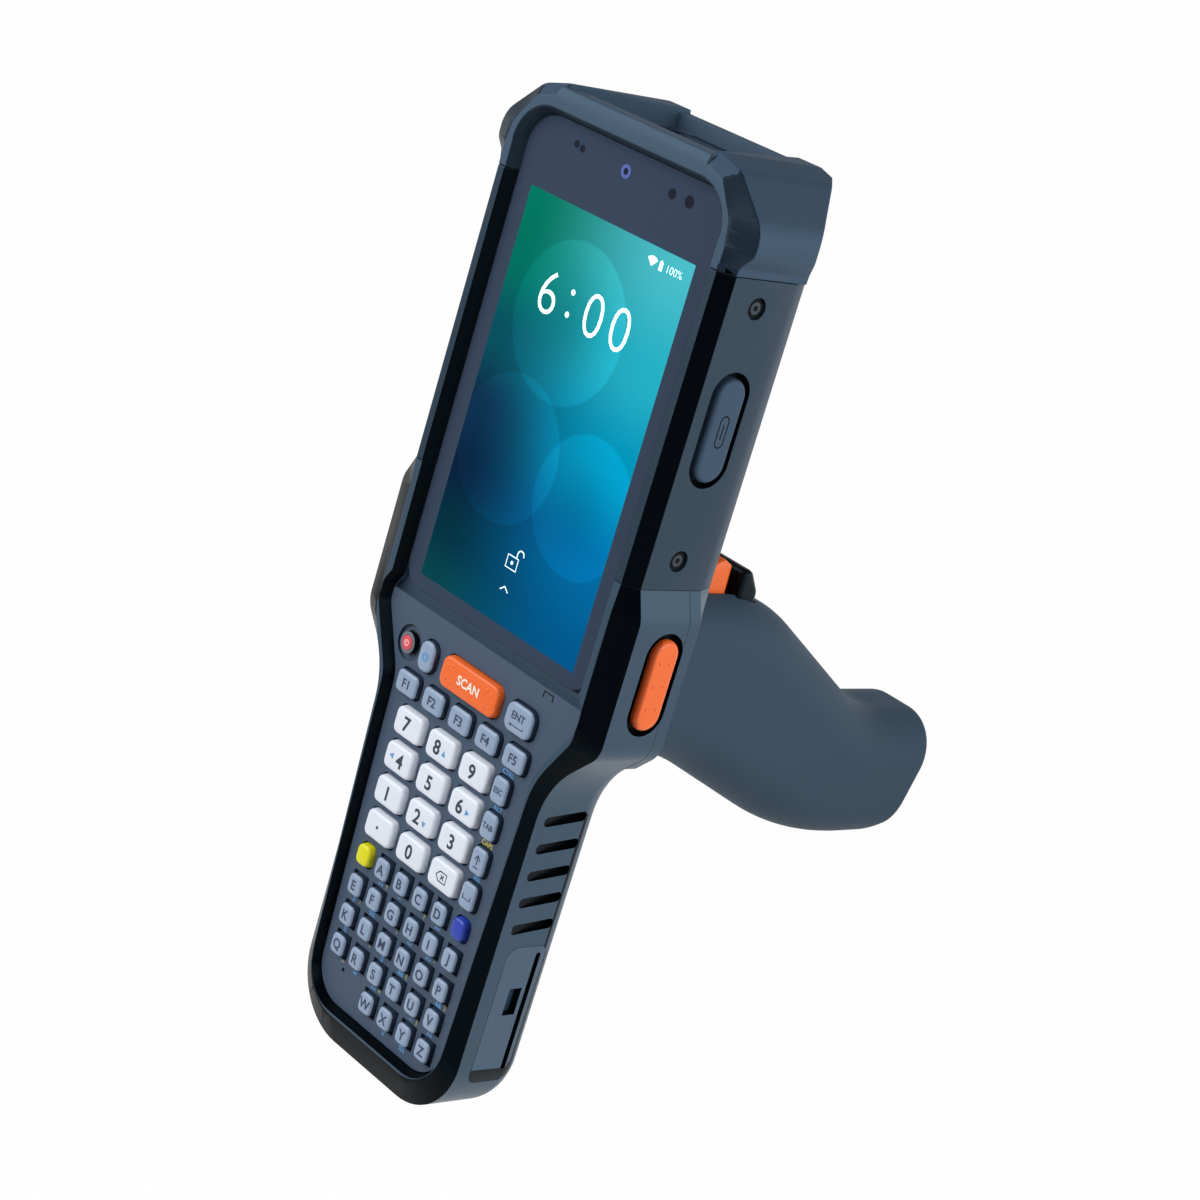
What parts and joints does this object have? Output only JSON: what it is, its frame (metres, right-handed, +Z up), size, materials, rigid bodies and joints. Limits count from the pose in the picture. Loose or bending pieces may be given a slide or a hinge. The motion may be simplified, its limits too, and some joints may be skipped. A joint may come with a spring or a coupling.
{
  "type": "portable data terminal",
  "caption": "Rugged pistol-grip data terminal with touchscreen, keypad, scan window, side trigger buttons and a sprung grip trigger.",
  "frame": {"origin": "centre of the overall box's footprint, on the floor the terminal stands on", "axes": "+Z up, with the tail and the grip's heel on the floor; +Y from the screen side towards the grip; +X to the right of someone who faces the screen"},
  "size_m": [0.0826, 0.1618, 0.1998],
  "materials": {
    "housing_shell": "satin moulded plastic",
    "bumper_rubber": "matte rubber",
    "rail_plastic": "fine textured plastic",
    "grip_plastic": "satin moulded plastic",
    "black_plastic": "matte black",
    "panel_plastic": "fine textured plastic",
    "key_light": "satin key cap",
    "key_grey": "satin key cap",
    "key_orange": "satin orange plastic",
    "key_red": "satin red plastic",
    "key_yellow": "satin yellow plastic",
    "key_blue": "satin blue plastic",
    "cover_glass": "glossy bordered touch glass",
    "board_green": "circuit board laminate",
    "metal_part": "bright steel",
    "battery_shell": "dark pack",
    "silicone": "silicone",
    "scan_glass": "dark red window"
  },
  "bodies": {
    "terminal": {"front_housing": "housing_shell", "rear_housing": "housing_shell", "housing_screws": "metal_part", "battery_pack": "battery_shell", "head_bumper": "bumper_rubber", "side_rail_right": "rail_plastic", "side_rail_left": "rail_plastic", "rail_screws": "metal_part", "display_glass": "cover_glass", "screen_module": "black_plastic", "front_camera": "black_plastic", "keypad_panel": "panel_plastic", "key_mat": "silicone", "keypad_board": "board_green", "main_board": "board_green", "usb_socket": "metal_part", "scan_window": "scan_glass", "scan_engine": "black_plastic", "speaker": "black_plastic", "strap_anchor_right": "rail_plastic", "strap_anchor_left": "rail_plastic", "grip_half_right": "grip_plastic", "grip_half_left": "grip_plastic", "grip_screws": "metal_part", "trigger_bezel": "black_plastic", "trigger_pin": "metal_part", "trigger_switch": "black_plastic"},
    "seven_key": {"seven_key": "key_light"},
    "eight_key": {"eight_key": "key_light"},
    "nine_key": {"nine_key": "key_light"},
    "four_key": {"four_key": "key_light"},
    "five_key": {"five_key": "key_light"},
    "six_key": {"six_key": "key_light"},
    "one_key": {"one_key": "key_light"},
    "two_key": {"two_key": "key_light"},
    "three_key": {"three_key": "key_light"},
    "point_key": {"point_key": "key_light"},
    "zero_key": {"zero_key": "key_light"},
    "erase_key": {"erase_key": "key_light"},
    "escape_key": {"escape_key": "key_grey"},
    "tab_key": {"tab_key": "key_grey"},
    "shift_key": {"shift_key": "key_grey"},
    "space_key": {"space_key": "key_grey"},
    "f1_key": {"f1_key": "key_grey"},
    "f2_key": {"f2_key": "key_grey"},
    "f3_key": {"f3_key": "key_grey"},
    "f4_key": {"f4_key": "key_grey"},
    "f5_key": {"f5_key": "key_grey"},
    "scan_key": {"scan_key": "key_orange"},
    "enter_key": {"enter_key": "key_grey"},
    "settings_key": {"settings_key": "key_grey"},
    "yellow_key": {"yellow_key": "key_yellow"},
    "blue_key": {"blue_key": "key_blue"},
    "power_key": {"power_key": "key_red"},
    "letter_keys": {"letter_keys": "key_grey"},
    "side_button_left": {"side_button_left": "key_orange"},
    "side_button_right": {"side_button_right": "key_orange"},
    "usb_cover": {"usb_cover": "black_plastic"},
    "trigger": {"trigger": "key_orange", "trigger_spring": "metal_part"}
  },
  "joints": [
    {"name": "trigger_pull", "type": "hinge", "parent": "terminal", "child": "trigger", "pos_m": [0, -0.00069, 0.09057], "axis": [-1, 0, 0], "range_deg": [0, 8], "stiffness_Nm_per_rad": 0.4},
    {"name": "side_button_right_press", "type": "slide", "parent": "terminal", "child": "side_button_right", "axis": [-1, 0, 0], "range_m": [0, 0.0007], "stiffness_N_per_m": 400},
    {"name": "side_button_left_press", "type": "slide", "parent": "terminal", "child": "side_button_left", "axis": [1, 0, 0], "range_m": [0, 0.0007], "stiffness_N_per_m": 400},
    {"name": "usb_cover_hinge", "type": "hinge", "parent": "terminal", "child": "usb_cover", "pos_m": [0.0379, -0.00487, 0.1395], "axis": [0, 0.8935, -0.449], "range_deg": [0, 120]},
    {"name": "seven_key_press", "type": "slide", "parent": "terminal", "child": "seven_key", "axis": [0, 0.8935, -0.449], "range_m": [0, 0.0005], "stiffness_N_per_m": 150},
    {"name": "eight_key_press", "type": "slide", "parent": "terminal", "child": "eight_key", "axis": [0, 0.8935, -0.449], "range_m": [0, 0.0005], "stiffness_N_per_m": 150},
    {"name": "nine_key_press", "type": "slide", "parent": "terminal", "child": "nine_key", "axis": [0, 0.8935, -0.449], "range_m": [0, 0.0005], "stiffness_N_per_m": 150},
    {"name": "four_key_press", "type": "slide", "parent": "terminal", "child": "four_key", "axis": [0, 0.8935, -0.449], "range_m": [0, 0.0005], "stiffness_N_per_m": 150},
    {"name": "five_key_press", "type": "slide", "parent": "terminal", "child": "five_key", "axis": [0, 0.8935, -0.449], "range_m": [0, 0.0005], "stiffness_N_per_m": 150},
    {"name": "six_key_press", "type": "slide", "parent": "terminal", "child": "six_key", "axis": [0, 0.8935, -0.449], "range_m": [0, 0.0005], "stiffness_N_per_m": 150},
    {"name": "one_key_press", "type": "slide", "parent": "terminal", "child": "one_key", "axis": [0, 0.8935, -0.449], "range_m": [0, 0.0005], "stiffness_N_per_m": 150},
    {"name": "two_key_press", "type": "slide", "parent": "terminal", "child": "two_key", "axis": [0, 0.8935, -0.449], "range_m": [0, 0.0005], "stiffness_N_per_m": 150},
    {"name": "three_key_press", "type": "slide", "parent": "terminal", "child": "three_key", "axis": [0, 0.8935, -0.449], "range_m": [0, 0.0005], "stiffness_N_per_m": 150},
    {"name": "point_key_press", "type": "slide", "parent": "terminal", "child": "point_key", "axis": [0, 0.8935, -0.449], "range_m": [0, 0.0005], "stiffness_N_per_m": 150},
    {"name": "zero_key_press", "type": "slide", "parent": "terminal", "child": "zero_key", "axis": [0, 0.8935, -0.449], "range_m": [0, 0.0005], "stiffness_N_per_m": 150},
    {"name": "erase_key_press", "type": "slide", "parent": "terminal", "child": "erase_key", "axis": [0, 0.8935, -0.449], "range_m": [0, 0.0005], "stiffness_N_per_m": 150},
    {"name": "escape_key_press", "type": "slide", "parent": "terminal", "child": "escape_key", "axis": [0, 0.8935, -0.449], "range_m": [0, 0.0005], "stiffness_N_per_m": 150},
    {"name": "tab_key_press", "type": "slide", "parent": "terminal", "child": "tab_key", "axis": [0, 0.8935, -0.449], "range_m": [0, 0.0005], "stiffness_N_per_m": 150},
    {"name": "shift_key_press", "type": "slide", "parent": "terminal", "child": "shift_key", "axis": [0, 0.8935, -0.449], "range_m": [0, 0.0005], "stiffness_N_per_m": 150},
    {"name": "space_key_press", "type": "slide", "parent": "terminal", "child": "space_key", "axis": [0, 0.8935, -0.449], "range_m": [0, 0.0005], "stiffness_N_per_m": 150},
    {"name": "f1_key_press", "type": "slide", "parent": "terminal", "child": "f1_key", "axis": [0, 0.8935, -0.449], "range_m": [0, 0.0005], "stiffness_N_per_m": 150},
    {"name": "f2_key_press", "type": "slide", "parent": "terminal", "child": "f2_key", "axis": [0, 0.8935, -0.449], "range_m": [0, 0.0005], "stiffness_N_per_m": 150},
    {"name": "f3_key_press", "type": "slide", "parent": "terminal", "child": "f3_key", "axis": [0, 0.8935, -0.449], "range_m": [0, 0.0005], "stiffness_N_per_m": 150},
    {"name": "f4_key_press", "type": "slide", "parent": "terminal", "child": "f4_key", "axis": [0, 0.8935, -0.449], "range_m": [0, 0.0005], "stiffness_N_per_m": 150},
    {"name": "f5_key_press", "type": "slide", "parent": "terminal", "child": "f5_key", "axis": [0, 0.8935, -0.449], "range_m": [0, 0.0005], "stiffness_N_per_m": 150},
    {"name": "scan_key_press", "type": "slide", "parent": "terminal", "child": "scan_key", "axis": [0, 0.8935, -0.449], "range_m": [0, 0.0005], "stiffness_N_per_m": 150},
    {"name": "enter_key_press", "type": "slide", "parent": "terminal", "child": "enter_key", "axis": [0, 0.8935, -0.449], "range_m": [0, 0.0005], "stiffness_N_per_m": 150},
    {"name": "settings_key_press", "type": "slide", "parent": "terminal", "child": "settings_key", "axis": [0, 0.8935, -0.449], "range_m": [0, 0.0005], "stiffness_N_per_m": 150},
    {"name": "yellow_key_press", "type": "slide", "parent": "terminal", "child": "yellow_key", "axis": [0, 0.8935, -0.449], "range_m": [0, 0.0005], "stiffness_N_per_m": 150},
    {"name": "blue_key_press", "type": "slide", "parent": "terminal", "child": "blue_key", "axis": [0, 0.8935, -0.449], "range_m": [0, 0.0005], "stiffness_N_per_m": 150},
    {"name": "power_key_press", "type": "slide", "parent": "terminal", "child": "power_key", "axis": [0, 0.8935, -0.449], "range_m": [0, 0.0005], "stiffness_N_per_m": 150},
    {"name": "letter_keys_press", "type": "slide", "parent": "terminal", "child": "letter_keys", "axis": [0, 0.8935, -0.449], "range_m": [0, 0.0005], "stiffness_N_per_m": 1500}
  ]
}
